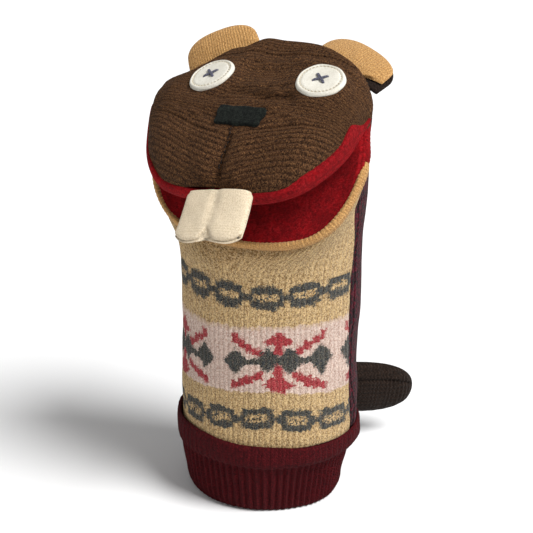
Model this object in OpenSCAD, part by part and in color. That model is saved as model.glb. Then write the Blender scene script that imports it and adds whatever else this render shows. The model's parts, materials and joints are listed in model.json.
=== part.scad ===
// Sewn wool hand puppet of a beaver, with a moving mouth. Millimetres, +Z up.
// The origin is the centre of the sleeve's opening, on the surface that the cuff stands on.
// The face looks along -Y, and +X is the puppet's left.

/* [Sleeve] */
// Outer radius of the knitted sleeve at the wrist
sleeve_r = 48; // [44:0.5:52]
// Outer radius of the sleeve at its top, under the head
neck_r = 51; // [49:0.5:53]
// Thickness of the felted knit
wool_t = 2.8; // [2:0.1:3.5]
// Height at which the wrist bends
wrist_z = 118; // [112:1:122]

/* [Cuff] */
// Height of the ribbed cuff
cuff_h = 42; // [38:1:44]
// Radius of the round opening that the arm goes through
opening_r = 38.5; // [36:0.5:39]
// Length of that opening's straight wall
opening_len = 26; // [20:1:28]
// Outer radius of the cuff where it stands
cuff_foot_r = 42; // [41.5:0.5:44]
// Outer radius of the cuff's top edge
cuff_top_r = 50.6; // [50:0.1:51.5]

/* [Head] */
// Height of the mouth's fold, which both jaws turn about
fold_z = 213; // [210:1:216]
// Half the width of the upper jaw
upper_w = 56; // [54:0.5:57]
// Length of the upper jaw in front of the fold
upper_len = 65; // [63:0.5:66]
// Slope of the upper jaw below the horizontal
upper_slope = 31.5; // [30:0.5:33]
// How far the head leans to the puppet's right
head_roll = 4.5; // [0:0.5:5]
// Diameter of the felt eyes
eye_d = 26; // [22:0.5:28]

/* [Lower jaw] */
// Half the width of the lower jaw's lining
lower_w = 60; // [58:1:61]
// Length of the lower jaw's lining in front of the fold
lower_len = 70; // [68:1:71]
// Slope of the lower jaw below the horizontal
lower_slope = 57; // [56:1:59]

/* [Ears, teeth and tail] */
// Width of an ear along its seam
ear_w = 45.5; // [38:0.5:47]
// Height of an ear
ear_h = 19.5; // [14:0.5:21]
// Width of the pair of teeth
teeth_w = 37.5; // [32:0.5:40]
// Length of the teeth
teeth_len = 28; // [22:1:30]
// Length of the tail
tail_len = 66; // [56:1:70]
// Height of the tail, which hangs on edge
tail_h = 29; // [24:1:32]
// Direction of the tail at rest, from straight back towards +X
tail_yaw = 45; // [30:1:60]

/* [Hidden] */
$fn = 96;
gap = 0.3;             // between sewn pieces that lie on each other
felt_t = 2;            // felt discs, nose patch and teeth layers
fold_y = -6;           // the mouth's fold, across the puppet
board_t = 1.2;         // mouth boards
band_half = 12;        // half the height of the band that creases at the wrist
throat_z = 146;        // top of the rigid part of the front panel
nape_z = 196;          // top of the rigid part of the back panel
far = 400;             // larger than the object

arc_steps = 40;        // points along a jaw's outline
seam_back = 38;        // how far the head's back seam lies behind the fold
seam_rise = 12;        // how far that seam stands above the jaw's plane
top_back = 12.5;         // height of the head above the jaw's plane, at the seam
top_brow = 23;         // the same at the brow, where the nose sits
brow_d = 22;           // distance of the brow in front of the fold
lining_taper = 3.2;    // angle by which the upper lining thickens towards its front
lower_pinch = 0.065;   // how much the lower jaw narrows at the fold
rear_power = 2.3;      // roundness of the head's back seam, seen from above

// ---------------------------------------------------------------- shared shapes

function spow(v, p) = sign(v) * pow(abs(v), p);
function mix(a, b, t) = a + (b - a) * t;

// Outline of a jaw seen square on: x across, y forward of the fold, where pinch narrows it
function jaw_outline(w, len, n, pinch = 0) =
    [for (i = [0:arc_steps])
        let (a = -90 + 180 * i / arc_steps, f = pow(abs(cos(a)), 2 / n))
        [w * spow(sin(a), 2 / n) * (1 - pinch * pow(1 - f, 5)), len * f]];

// Puts a jaw's flat outline in place. Local Z points down, away from the jaw's upper side.
module on_jaw(slope) {
    translate([0, fold_y, fold_z]) rotate([180 + slope, 0, 0]) children();
}

// A point given as x across, d forward and h above the upper jaw's plane, which twists
// from level at the fold to the head's lean at the lip and the crown
function on_head(x, d, h) =
    let (up = h + x * tan(head_roll) * min(1, max(0, d / 45, h / 15)))
    [x,
     fold_y - d * cos(upper_slope) - up * sin(upper_slope),
     fold_z - d * sin(upper_slope) + up * cos(upper_slope)];

// Closed polyhedron from a grid of points: rows of equal length, each row a closed ring
module skin(rows) {
    n = len(rows[0]);
    m = len(rows);
    points = [for (r = rows) each r];
    sides = [for (i = [0:m - 2], j = [0:n - 1]) let (k = (j + 1) % n)
        each [[i * n + j, i * n + k, (i + 1) * n + k],
              [i * n + j, (i + 1) * n + k, (i + 1) * n + j]]];
    first_end = [[for (j = [n - 1:-1:0]) j]];
    last_end = [[for (j = [0:n - 1]) (m - 1) * n + j]];
    polyhedron(points, concat(sides, first_end, last_end), convexity = 8);
}

// Sheet of cloth between an outer and an inner face, each given as rows of points
module cloth(outer, inner) {
    n = len(outer[0]);
    m = len(outer);
    ring = 2 * n;
    points = [for (i = [0:m - 1]) each concat(outer[i], [for (k = [n - 1:-1:0]) inner[i][k]])];
    sides = [for (i = [0:m - 2], j = [0:ring - 1]) let (k = (j + 1) % ring)
        each [[i * ring + j, i * ring + k, (i + 1) * ring + k],
              [i * ring + j, (i + 1) * ring + k, (i + 1) * ring + j]]];
    ends = [for (j = [0:n - 2]) let (c = ring - 2 - j, d = ring - 1 - j, t = (m - 1) * ring)
        each [[j + 1, j, c], [c, j, d], [t + j, t + j + 1, t + c], [t + j, t + c, t + d]]];
    polyhedron(points, concat(sides, ends), convexity = 8);
}

// Half of the sleeve's wall between two heights. side is 1 for the back half and -1 for the front.
module half_sleeve(side, z0, z1, r0, r1) {
    rotate([0, 0, side > 0 ? 0 : 180])
        rotate_extrude(angle = 180)
            polygon([[r0 - wool_t, z0], [r0, z0], [r1, z1], [r1 - wool_t, z1]]);
}

function wall_r(z) = z < wrist_z ? sleeve_r : mix(sleeve_r, neck_r, (z - wrist_z) / (nape_z - wrist_z));

// ---------------------------------------------------------------- sleeve and cuff

module hem_cuff() {
    lap = 4;             // how far the cuff laps over the sleeve's hem
    hem_z = cuff_h - lap;
    color("darkred") rotate_extrude() polygon([
        [opening_r, 0], [cuff_foot_r - 1.5, 0], [cuff_foot_r, 1.5],
        [cuff_foot_r + 3.5, cuff_h * 0.45], [cuff_top_r, cuff_h * 0.75],
        [cuff_top_r, cuff_h - 1], [cuff_top_r - 1, cuff_h],
        [sleeve_r + gap, cuff_h], [sleeve_r + gap, hem_z],
        [sleeve_r - wool_t, hem_z], [opening_r, opening_len]
    ]);
}

module front_panel_lower() {
    color("tan") half_sleeve(-1, cuff_h - 4, wrist_z - band_half, sleeve_r, sleeve_r);
}

module back_panel_lower() {
    color("#3a1420") half_sleeve(1, cuff_h - 4, wrist_z - band_half, sleeve_r, sleeve_r);
}

module front_panel_wrist() {
    color("tan") half_sleeve(-1, wrist_z - band_half, wrist_z + band_half,
        sleeve_r, wall_r(wrist_z + band_half));
}

module back_panel_wrist() {
    color("#3a1420") half_sleeve(1, wrist_z - band_half, wrist_z + band_half,
        sleeve_r, wall_r(wrist_z + band_half));
}

module front_panel_upper() {
    color("tan") half_sleeve(-1, wrist_z + band_half, throat_z,
        wall_r(wrist_z + band_half), wall_r(throat_z));
}

module back_panel_upper() {
    color("#3a1420") half_sleeve(1, wrist_z + band_half, nape_z,
        wall_r(wrist_z + band_half), neck_r);
}

// ---------------------------------------------------------------- cloth that creases at the jaws

panel_steps = 20;
panel_rows = 6;

// Point of the lower jaw's lip, below its plane. a runs from 0 at the left corner to 180.
function lip_point(a, below, inset) =
    let (w = lower_w + 2 - inset, l = lower_len + 4 - inset, f = pow(abs(sin(a)), 2 / 2.7),
         x = w * spow(cos(a), 2 / 2.7) * (1 - lower_pinch * pow(1 - f, 5)), d = l * f)
    [x,
     fold_y - d * cos(lower_slope) + below * sin(lower_slope),
     fold_z - d * sin(lower_slope) - below * cos(lower_slope)];

// Point of the head's back seam, a running from 0 at the left corner to 180
function seam_point(a, inset) =
    let (w = upper_w - inset, l = seam_back + 0.5 - inset,
         x = w * spow(cos(a), 2 / rear_power), d = -l * pow(abs(sin(a)), 2 / rear_power))
    on_head(x, d, seam_rise * pow(-d / seam_back, 3) - 0.5);

module front_panel_throat() {
    lip_z = 9;           // the throat stops this far below the lower jaw's plane
    function row(v, t) = [for (j = [0:panel_steps])
        let (a = 2 + 176 * j / panel_steps, r = wall_r(throat_z) - t,
             low = [r * cos(a), -r * sin(a), throat_z],
             high = lip_point(a, lip_z, t + 1))
        mix(low, high, v)];
    outer = [for (i = [0:panel_rows]) row(i / panel_rows, 0)];
    inner = [for (i = [0:panel_rows]) row(i / panel_rows, wool_t)];
    color("tan") cloth(outer, inner);
}

module back_panel_nape() {
    bulge = 5;           // the nape stands out between its two edges
    function row(v, t) = [for (j = [0:panel_steps])
        let (a = 176 - 172 * j / panel_steps, r = neck_r - t,
             low = [r * cos(a), r * sin(a), nape_z],
             high = seam_point(a, t),
             out = bulge * sin(180 * v) * sin(a))
        mix(low, high, v) + [0, out, 0]];
    outer = [for (i = [0:panel_rows]) row(i / panel_rows, 0)];
    inner = [for (i = [0:panel_rows]) row(i / panel_rows, wool_t)];
    color("#3a1420") cloth(outer, inner);
}

// ---------------------------------------------------------------- lower jaw

module lower_outline(grow) {
    polygon(jaw_outline(lower_w + grow, lower_len + 2 * grow, 2.7, lower_pinch));
}

module lower_jaw_lip() {
    lip_h = 8;
    color("tan") on_jaw(lower_slope) difference() {
        linear_extrude(lip_h) lower_outline(2);
        translate([0, 0, -1]) linear_extrude(lip_h + 2) lower_outline(gap);
        translate([-far / 2, -1, -1]) cube([far, 3, lip_h + 2]);
    }
}

module lower_mouth_lining() {
    color("crimson") on_jaw(lower_slope)
        translate([0, 0, gap]) linear_extrude(wool_t) difference() {
            lower_outline(0);
            translate([-far / 2, -1]) square([far, 3]);
        }
}

module lower_mouth_board() {
    color("gray") on_jaw(lower_slope)
        translate([0, 0, wool_t + 2 * gap]) linear_extrude(board_t) difference() {
            lower_outline(-3);
            translate([-far / 2, -1]) square([far, 7]);
        }
}

// ---------------------------------------------------------------- head

jaw_stations = [10, 20, 30, 38, 45, 50, 54.5, 58.5, 61.3, 63.3, 64.4];
head_stations = concat([-36.8, -32, -25, -17, -8, 1], jaw_stations);
ring_steps = 24;

// Half width, top height and base height of the head at distance d in front of the fold
function head_w(d) = d > 0
    ? upper_w * pow(1 - pow(d / upper_len, 3), 1 / 3)
    : upper_w * pow(1 - pow(-d / seam_back, rear_power), 1 / rear_power);
function head_top_h(d) = d < brow_d
    ? top_back + (top_brow - top_back) * sin(90 * (d + seam_back) / (brow_d + seam_back))
    : top_brow * pow(1 - pow((d - brow_d) / (upper_len - brow_d), 2.4), 1 / 1.7);
function head_base_h(d) = d < 0 ? seam_rise * pow(-d / seam_back, 3) : 0;

// Arch across the head at a station, set in from its surface. A closed one lies on the base.
function head_arch(d, inset, closed = false) =
    let (w = max(0.5, head_w(d) - inset), b = head_base_h(d),
         t = closed ? b : max(b + 0.5, head_top_h(d) - inset))
    [for (j = [0:ring_steps]) let (a = 180 * j / ring_steps)
        on_head(-w * spow(cos(a), 2 / 2.8), d, b + (t - b) * pow(sin(a), 2 / 2.8))];

module head_top() {
    snout_d = 57;        // the head is solid cloth and seam in front of this
    color("saddlebrown") cloth([for (d = head_stations) head_arch(d, 0)],
        [for (d = head_stations) head_arch(d, min(wool_t, head_w(d) / 2), d > snout_d)]);
}

// Layer across the upper jaw, between two heights that are given at each station
module jaw_layer(stations, inset, low, high) {
    across = [-1, -0.5, 0, 0.5, 1];
    function row(i, h) = let (d = stations[i], w = head_w(d) - inset)
        [for (f = across) on_head(f * w, d, h[i])];
    cloth([for (i = [0:len(stations) - 1]) row(i, high)],
          [for (i = [0:len(stations) - 1]) row(i, low)]);
}

module upper_mouth_lining() {
    color("crimson") jaw_layer(jaw_stations, 0.5,
        [for (d = jaw_stations) -d * tan(lining_taper)], [for (d = jaw_stations) -gap]);
}

module upper_mouth_board() {
    stations = concat([5], [for (d = jaw_stations) if (d < 57) d]);
    color("gray") jaw_layer(stations, wool_t + 3.5,
        [for (d = stations) gap], [for (d = stations) gap + board_t]);
}

module snout_filling() {
    stations = [44, 46.5, 49, 51.5, 53.5];
    base = board_t + 2 * gap;
    function ring(d) =
        let (w = head_w(d) - wool_t - 4, t = head_top_h(d) - wool_t - 2.5)
        [for (j = [0:ring_steps]) let (a = 180 * j / ring_steps)
            on_head(-w * spow(cos(a), 2 / 2.8), d, base + max(0.6, t - base) * pow(sin(a), 2 / 2.8))];
    color("white") skin([for (d = stations) ring(d)]);
}

muzzle_x = 2;            // the muzzle's seam is sewn a little off centre
nose_x = 4;
nose_d = 32;
nose_tilt = 40;          // how far the nose patch leans forward

module nose_patch() {
    top_w = 25.5;
    bottom_w = 22;
    h = 12;
    color("#1c2322") translate(on_head(nose_x, nose_d, head_top_h(nose_d) + 0.8))
        rotate([nose_tilt, -head_roll, 0])
        linear_extrude(felt_t) offset(1) offset(-1) polygon([
            [-top_w / 2, h / 2], [top_w / 2, h / 2],
            [bottom_w / 2, -h / 2], [-bottom_w / 2, -h / 2]
        ]);
}

// Row of stitches that pinches the muzzle between the nose and the teeth
module nose_seam() {
    thread = 0.7;
    places = [44, 48, 52, 55.5, 58.5];
    color("#1a1210") for (d = places)
        translate(on_head(muzzle_x, d, head_top_h(d)) + [0, -1, 0.8]) sphere(r = thread, $fn = 24);
}

// Where each eye is sewn: across, and in front of the fold
left_eye_at = [35.5, 1.4];
right_eye_at = [-27.7, 1.4];

module on_eye(side) {
    at = side > 0 ? left_eye_at : right_eye_at;
    translate(on_head(at.x, at.y, head_top_h(at.y) - 0.6))
        rotate([upper_slope - 5, side * 9 - head_roll, 0]) children();
}

module eye_disc(side) {
    color("ivory") on_eye(side) cylinder(d = eye_d, h = felt_t);
}

// Two crossed stitches that hold the eye
module eye_stitch(side) {
    arm = 8;
    thread = 0.9;
    color("dimgray") on_eye(side) translate([0, 0, felt_t]) for (turn = [45, -45])
        rotate([0, 0, turn]) translate([-arm / 2, -thread / 2, 0]) cube([arm, thread, thread]);
}

// ---------------------------------------------------------------- ears

// An ear's root: its inner end across, behind the fold and above the jaw's plane
left_ear_root = [10, 40.6, 3.5];
right_ear_root = [22.7, 38.6, 5.2];
// An ear's lean back, the drop of its root outwards, and its turn towards the side
left_ear_turn = [-64, 26, -11];
right_ear_turn = [-27, 19, -16];
right_ear_share = [0.95, 0.75];   // the right ear is sewn in deeper than the left

module ear_half(side, layer) {
    base = 4.0;          // the flap starts this far above its hinge line
    turn = side > 0 ? left_ear_turn : right_ear_turn;
    root = side > 0 ? left_ear_root : right_ear_root;
    w = ear_w * (side > 0 ? 1 : right_ear_share[0]);
    h = ear_h * (side > 0 ? 1 : right_ear_share[1]);
    translate(on_head(side * root[0], -root[1], root[2]))
        rotate([0, -head_roll, 0]) mirror([side > 0 ? 0 : 1, 0, 0])
        rotate(turn)
            translate([w / 2 - 2, layer, base]) rotate([90, 0, 0])
                linear_extrude(wool_t - gap) intersection() {
                    polygon([for (i = [0:32]) let (a = 360 * i / 32)
                        [w / 2 * spow(cos(a), 0.8), h * spow(sin(a), 0.8)]]);
                    translate([-far / 2, 0]) square(far);
                }
}

module ear_front(side) {
    color("goldenrod") ear_half(side, 0);
}

module ear_back(side) {
    color("#3b2418") ear_half(side, wool_t);
}

// ---------------------------------------------------------------- teeth

teeth_at = [2.6, -64.3, 182.4];   // the teeth's hinge line, at the front of the upper lip
teeth_tilt = 38;         // their lower end stands forward
teeth_lean = 8;          // and swings to the puppet's right

module tooth_outline(margin) {
    h = teeth_len - margin;
    w = teeth_w / 2 - margin;
    notch = 5;
    polygon([
        [-w + 1, 0], [w - 1, 0], [w, 2], [w, h - 4], [w - 1.5, h - 1], [w - 4, h],
        [4, h], [0, h - notch], [-4, h], [-w + 4, h], [-w + 1.5, h - 1], [-w, h - 4], [-w, 2]
    ]);
}

// Local Y runs down the teeth, local Z out of their front
module on_teeth() {
    translate(teeth_at) rotate([0, -teeth_lean, 0])
        rotate([-90 - teeth_tilt, 0, 0]) translate([0, 0.8, 0]) children();
}

module teeth_front() {
    color("ivory") on_teeth() translate([0, 0, -felt_t - gap / 2]) linear_extrude(felt_t) tooth_outline(0);
}

module teeth_back() {
    color("ivory") on_teeth() translate([0, 0, gap / 2]) linear_extrude(felt_t) tooth_outline(0.6);
}

// Line of stitches down the middle that makes two teeth of one flap
module teeth_seam() {
    color("wheat") on_teeth() for (i = [0:5])
        translate([-0.3, 2 + i * 3.6, -felt_t - gap / 2 - 0.6]) cube([0.6, 2.4, 0.6]);
}

// ---------------------------------------------------------------- tail

tail_y = sleeve_r + 5;   // the tail's hinge line behind the cuff's top edge
tail_z = 36;
tail_droop = 7;

// Tongue shape seen from the side: x along the tail, y up
module tail_side(margin) {
    l = tail_len - margin;
    h = tail_h / 2 - margin;
    intersection() {
        polygon([for (i = [0:40]) let (a = 360 * i / 40)
            [l / 2 + (l / 2 + 8) * spow(cos(a), 0.75) - 8, h * spow(sin(a), 0.6)]]);
        translate([2.5 + margin, -far / 2]) square(far);
    }
}

// Thickness seen from above: thin at the seam, full in the middle
module tail_plan(margin) {
    t = 7.5 - margin;
    polygon([
        [2, -2 + margin / 2], [18, -t], [42, -t], [56, -t * 0.7], [tail_len - margin, -1],
        [tail_len - margin, 1], [56, t * 0.7], [42, t], [18, t], [2, 2 - margin / 2]
    ]);
}

module on_tail() {
    translate([0, tail_y, tail_z]) rotate([0, 0, 90 - tail_yaw]) rotate([0, tail_droop, 0]) children();
}

module tail_pillow(margin) {
    intersection() {
        translate([0, far / 2, 0]) rotate([90, 0, 0]) linear_extrude(far) tail_side(margin);
        translate([0, 0, -far / 2]) linear_extrude(far) tail_plan(margin);
    }
}

module tail_panel(side) {
    color("#33221a") on_tail() difference() {
        tail_pillow(0);
        tail_pillow(2.2);
        translate([-far / 2, side > 0 ? -far : 0, -far / 2]) cube(far);
    }
}

module tail_filling() {
    color("white") on_tail() tail_pillow(2.5);
}

// ---------------------------------------------------------------- the whole puppet

hem_cuff();
front_panel_lower();
back_panel_lower();
front_panel_wrist();
back_panel_wrist();
front_panel_upper();
back_panel_upper();
front_panel_throat();
back_panel_nape();
lower_jaw_lip();
lower_mouth_lining();
lower_mouth_board();
head_top();
upper_mouth_lining();
upper_mouth_board();
snout_filling();
nose_patch();
nose_seam();
eye_disc(1);  // left_eye_disc
eye_disc(-1);  // right_eye_disc
eye_stitch(1);  // left_eye_stitch
eye_stitch(-1);  // right_eye_stitch
ear_front(1);  // left_ear_front
ear_back(1);  // left_ear_back
ear_front(-1);  // right_ear_front
ear_back(-1);  // right_ear_back
teeth_front();
teeth_back();
teeth_seam();
tail_panel(1);  // tail_left_panel
tail_panel(-1);  // tail_right_panel
tail_filling();
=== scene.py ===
"""Sewn wool hand puppet of a beaver. Lengths are in millimetres until a mesh is made."""
import json

import bpy
import numpy as np
from numpy import cos, pi, radians, sin, tan
from numpy.linalg import norm, svd
from mathutils import Matrix, Vector
from mathutils.bvhtree import BVHTree


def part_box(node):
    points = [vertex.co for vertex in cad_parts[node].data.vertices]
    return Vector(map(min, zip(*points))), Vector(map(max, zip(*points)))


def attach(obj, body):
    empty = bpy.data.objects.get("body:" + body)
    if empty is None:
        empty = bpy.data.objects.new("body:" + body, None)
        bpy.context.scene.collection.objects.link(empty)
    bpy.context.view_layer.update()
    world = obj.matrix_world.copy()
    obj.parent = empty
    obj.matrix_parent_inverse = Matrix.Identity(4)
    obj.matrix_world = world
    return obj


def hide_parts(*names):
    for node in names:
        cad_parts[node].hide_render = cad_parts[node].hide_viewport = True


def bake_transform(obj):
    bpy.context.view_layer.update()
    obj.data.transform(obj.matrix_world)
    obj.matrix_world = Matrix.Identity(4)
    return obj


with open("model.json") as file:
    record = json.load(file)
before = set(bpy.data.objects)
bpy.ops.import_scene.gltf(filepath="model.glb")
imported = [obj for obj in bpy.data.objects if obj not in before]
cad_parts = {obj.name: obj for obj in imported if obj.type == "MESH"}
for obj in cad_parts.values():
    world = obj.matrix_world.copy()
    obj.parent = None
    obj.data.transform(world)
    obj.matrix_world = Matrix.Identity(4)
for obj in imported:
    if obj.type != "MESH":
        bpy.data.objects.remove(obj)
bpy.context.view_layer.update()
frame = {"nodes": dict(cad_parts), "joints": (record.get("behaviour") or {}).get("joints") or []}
JOINT = {j["name"]: j for j in frame["joints"]}


# ---- measures, from the CAD frame

def box_mm(node):
    return np.array(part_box(node)) * 1000


def joint_mm(name):
    return np.array(JOINT[name]["pos_m"]) * 1000


SLEEVE_R = box_mm("front_panel_lower")[1][0]
NECK_R = box_mm("back_panel_upper")[1][0]
CUFF_H = box_mm("hem_cuff")[1][2]
WRIST_Z = joint_mm("wrist_nod")[2]
NAPE_Z = box_mm("back_panel_upper")[1][2]
FOLD_Y, FOLD_Z = joint_mm("head_lift")[1:]
UPPER_W = box_mm("head_top")[1][0]
LOWER_W = box_mm("lower_mouth_lining")[1][0]

WOOL = 2.6           # thickness of the cloth
RIB = 2.9            # width of one rib of the knit
LAP = 3.2            # how far the panels reach down behind the cuff's top edge
BAND = 12            # half the height of the band that creases at the wrist
THROAT_Z = WRIST_Z + BAND + 1
PANEL_Z = 168        # where the back's two pieces meet
SEAM_ANGLE = radians(87.5)      # the side seams, from the face
FRONT_SEED, BACK_SEED = 21, 41       # of the panels' unevenness

UPPER_LEN, UPPER_SLOPE = 65, radians(31.5)
LOWER_LEN, LOWER_SLOPE = 70, radians(57)
UPPER_POWER, LOWER_POWER = 3, 2.7    # roundness of the jaws' outlines
ARCH_POWER = 2.8                     # and of the head from side to side
SEAM_BACK, SEAM_RISE, SEAM_POWER = 38, 12, 2.3
PINCH = 0.065        # how much the lower jaw narrows at the fold
TOP_BACK, TOP_BROW, BROW_D = 12.5, 23, 22
ROLL = radians(4.5)
MUZZLE_X = 2
EYE_R, EYE_THICK = 12.6, 1.9
EYE_SEAT = -1.2      # the head under an eye, from the middle of its disc
VIEW_AZ = 27         # the camera's direction, from straight ahead towards +X
TURN = 2 * pi


# ---- small mathematics

def spow(v, p):
    return np.sign(v) * np.abs(v) ** p


def mix(a, b, t):
    return a + (b - a) * t


def smooth(t):
    t = np.clip(t, 0, 1)
    return t * t * (3 - 2 * t)


def bell(x, width):
    return np.exp(-((x / width) ** 2))


def dome(t, power, end=None):
    """Falls from 1 at t = 0 to 0 at t = 1, along a superellipse unless end gives another exponent."""
    return np.clip(1 - np.clip(t, 0, None) ** power, 0, 1) ** (end or 1 / power)


def lumps(p, size, seed):
    """Gentle seeded unevenness between about -1 and 1, with lumps of this size in millimetres."""
    rng = np.random.RandomState(seed)
    k = rng.normal(size=(8, 3))
    k *= (TURN / size) / norm(k, axis=1, keepdims=True)
    return sin(np.tensordot(p, k, axes=([-1], [1])) + rng.uniform(0, 6.28, 8)).sum(-1) / 4


def crumple(p, seed, *layers):
    """Layers of unevenness, each given as its size and its height."""
    return sum(height * lumps(p, size, seed + i) for i, (size, height) in enumerate(layers))


def stack(*parts):
    """Points or texture places from their coordinates."""
    return np.stack(np.broadcast_arrays(*parts), -1)


def row(*span):
    return np.linspace(*span)[None, :]


def column(*span):
    return np.linspace(*span)[:, None]


def circle(count):
    return np.linspace(0, TURN, count, endpoint=False)


def run(p, axis=0):
    """Distance travelled over points, along one axis of their grid."""
    step = norm(np.diff(p, axis=axis), axis=-1)
    return np.cumsum(np.insert(step, 0, 0, axis=axis), axis=axis)


def normals(p):
    """Unit normals of a grid of points, rows first."""
    n = np.cross(np.gradient(p, axis=1), np.gradient(p, axis=0))
    return n / np.maximum(norm(n, axis=-1, keepdims=True), 1e-9)


def outward(line, up):
    """Directions square to a curved line of points and to up, away from what the line encloses."""
    away = np.cross(up, np.gradient(line, axis=0))
    away /= norm(away, axis=1, keepdims=True)
    return away * np.sign((away * (line - line.mean(0))).sum(1, keepdims=True))


def direction(azimuth, elevation):
    """Unit vector at degrees from straight ahead of the face towards +X, and above the level."""
    az, el = radians(azimuth), radians(elevation)
    return Vector((sin(az) * cos(el), -cos(az) * cos(el), sin(el)))


# ---- meshes

def add_object(name, data):
    obj = bpy.data.objects.new(name, data)
    bpy.context.scene.collection.objects.link(obj)
    return obj


def new_object(name, points, faces, uv, material, flip=False):
    """Mesh object from points in millimetres, faces, a texture place per point and a key of MAT."""
    if flip:
        faces = faces[:, ::-1]
    mesh = bpy.data.meshes.new(name)
    mesh.from_pydata(points / 1000, [], faces, shade_flat=False)
    mesh.uv_layers.new(name="UVMap").data.foreach_set("uv", uv[faces.ravel()].ravel())
    mesh.materials.append(MAT[material])
    mesh.update()
    mesh.validate()
    return add_object(name, mesh)


def grid_faces(rows, cols, closed=False):
    i, j = np.meshgrid(np.arange(rows - 1), np.arange(cols if closed else cols - 1), indexing="ij")
    k = (j + 1) % cols
    quads = np.stack([i * cols + j, i * cols + k, (i + 1) * cols + k, (i + 1) * cols + j], -1)
    return quads.reshape(-1, 4)


def sheet_object(name, upper, lower, uv, material, flip=False):
    """Two grids of points, one under the other, joined by a rim."""
    rows, cols = upper.shape[:2]
    size = rows * cols
    faces = grid_faces(rows, cols)
    ring = np.concatenate([np.arange(cols), np.arange(1, rows) * cols + cols - 1,
                           (rows - 1) * cols + np.arange(cols - 2, -1, -1),
                           np.arange(rows - 2, 0, -1) * cols])
    after = np.roll(ring, -1)
    rim = np.stack([ring, ring + size, after + size, after], -1)
    return new_object(name, np.concatenate([upper.reshape(-1, 3), lower.reshape(-1, 3)]),
                      np.concatenate([faces, faces[:, ::-1] + size, rim]),
                      np.concatenate([uv.reshape(-1, 2)] * 2), material, flip)


def cloth(name, p, uv, material, thickness=WOOL, flip=False):
    """A sheet of cloth whose outer face is p. flip says that the grid's own normals point inwards."""
    return sheet_object(name, p, p - normals(p) * thickness * (-1 if flip else 1), uv, material, flip)


def ring_solid(name, p, uv, material, flip=False):
    """A closed form from rings: p[i, j] runs round ring i. Its two ends close on their middles."""
    rows, cols = p.shape[:2]
    quads = grid_faces(rows, cols, True)
    first = np.arange(cols)
    after = (first + 1) % cols
    last = (rows - 1) * cols
    middle = np.full(cols, rows * cols)
    faces = np.concatenate([quads[:, [0, 1, 2]], quads[:, [0, 2, 3]],
                            np.stack([after, first, middle], -1),
                            np.stack([last + first, last + after, middle + 1], -1)])
    points = np.concatenate([p.reshape(-1, 3), [p[0].mean(0), p[-1].mean(0)]])
    uvs = np.concatenate([uv.reshape(-1, 2), [uv[0].mean(0), uv[-1].mean(0)]])
    return new_object(name, points, faces, uvs, material, flip)


def tube(name, path, radius, material, sides):
    """Thread along a path of points."""
    along = np.gradient(path, axis=0)
    along /= norm(along, axis=1, keepdims=True)
    side = np.cross(along, [0.12, 0.3, 0.95])           # any direction that no thread follows
    side /= norm(side, axis=1, keepdims=True)
    up = np.cross(along, side)
    a = circle(sides)
    fade = np.ones(len(path))
    fade[0] = fade[-1] = 0.4
    ring = cos(a)[None, :, None] * side[:, None] + sin(a)[None, :, None] * up[:, None]
    p = path[:, None] + ring * radius * fade[:, None, None]
    return ring_solid(name, p, stack(a[None] * radius, run(path)[:, None]), material, flip=True)


def select(objects):
    bpy.ops.object.select_all(action="DESELECT")
    for obj in objects:
        obj.select_set(True)
    bpy.context.view_layer.objects.active = objects[0]


def join(name, objects):
    select(objects)
    bpy.ops.object.join()
    objects[0].name = name
    objects[0].data.name = name
    return objects[0]


def weld(obj):
    """Merges the points that lie on each other, and turns every face outwards."""
    select([obj])
    bpy.ops.object.mode_set(mode="EDIT")
    bpy.ops.mesh.select_all(action="SELECT")
    bpy.ops.mesh.remove_doubles(threshold=0.00002)
    bpy.ops.mesh.normals_make_consistent(inside=False)
    bpy.ops.object.mode_set(mode="OBJECT")
    return obj


def sew(name, paths, radius, thread, body, *nodes, sides=8):
    """One piece of thread stitches along these paths."""
    stitches = [tube(name, path, radius, thread, sides) for path in paths]
    settle(join(name, stitches), thread, body, *nodes)


def settle(obj, slot, body, *nodes):
    """Hangs a rigid piece on its body's empty, and hides the CAD nodes it stands for. slot is not used."""
    if nodes:
        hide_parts(*nodes)
    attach(obj, body)


def place(points, seat):
    """Points given in a seat's own directions. A seat is its middle and three directions."""
    middle, across, up, out = seat
    return middle + points[..., :1] * across + points[..., 1:2] * up + points[..., 2:] * out


# ---- materials

WHITE = (1, 1, 1, 1)


def rgb(*levels):
    """Linear colour from display values between 0 and 255."""
    def linear(c):
        return c / 12.92 if c <= 0.04 else ((c + 0.055) / 1.055) ** 2.4
    return tuple(linear(level / 255) for level in levels) + (1,)


def operation(kind, turned=False):
    """Method of Value that adds a math node. turned puts the value after what it is combined with."""
    def method(self, *others):
        return self.net.math(kind, *others, self) if turned else self.net.math(kind, self, *others)
    return method


class Value:
    """A number in a material's node tree, with ordinary arithmetic."""

    def __init__(self, net, socket):
        self.net, self.socket = net, socket

    __add__ = operation("ADD")
    __radd__ = operation("ADD", turned=True)
    __sub__ = operation("SUBTRACT")
    __rsub__ = operation("SUBTRACT", turned=True)
    __mul__ = operation("MULTIPLY")
    __rmul__ = operation("MULTIPLY", turned=True)
    __truediv__ = operation("DIVIDE")
    abs = operation("ABSOLUTE")
    power = operation("POWER")
    sin = operation("SINE")
    floor = operation("FLOOR")
    fract = operation("FRACT")
    max = operation("MAXIMUM")
    min = operation("MINIMUM")

    def wrap(self, reach):
        """Repeats between -reach and reach."""
        return self.net.math("WRAP", self, reach, -reach)

    def clamp(self):
        return self.net.math("ADD", self, 0, clamp=True)

    def below(self, edge, width):
        """1 where this is less than edge, 0 where it is more, softened over width."""
        return ((edge - self) / width + 0.5).clamp()


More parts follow.
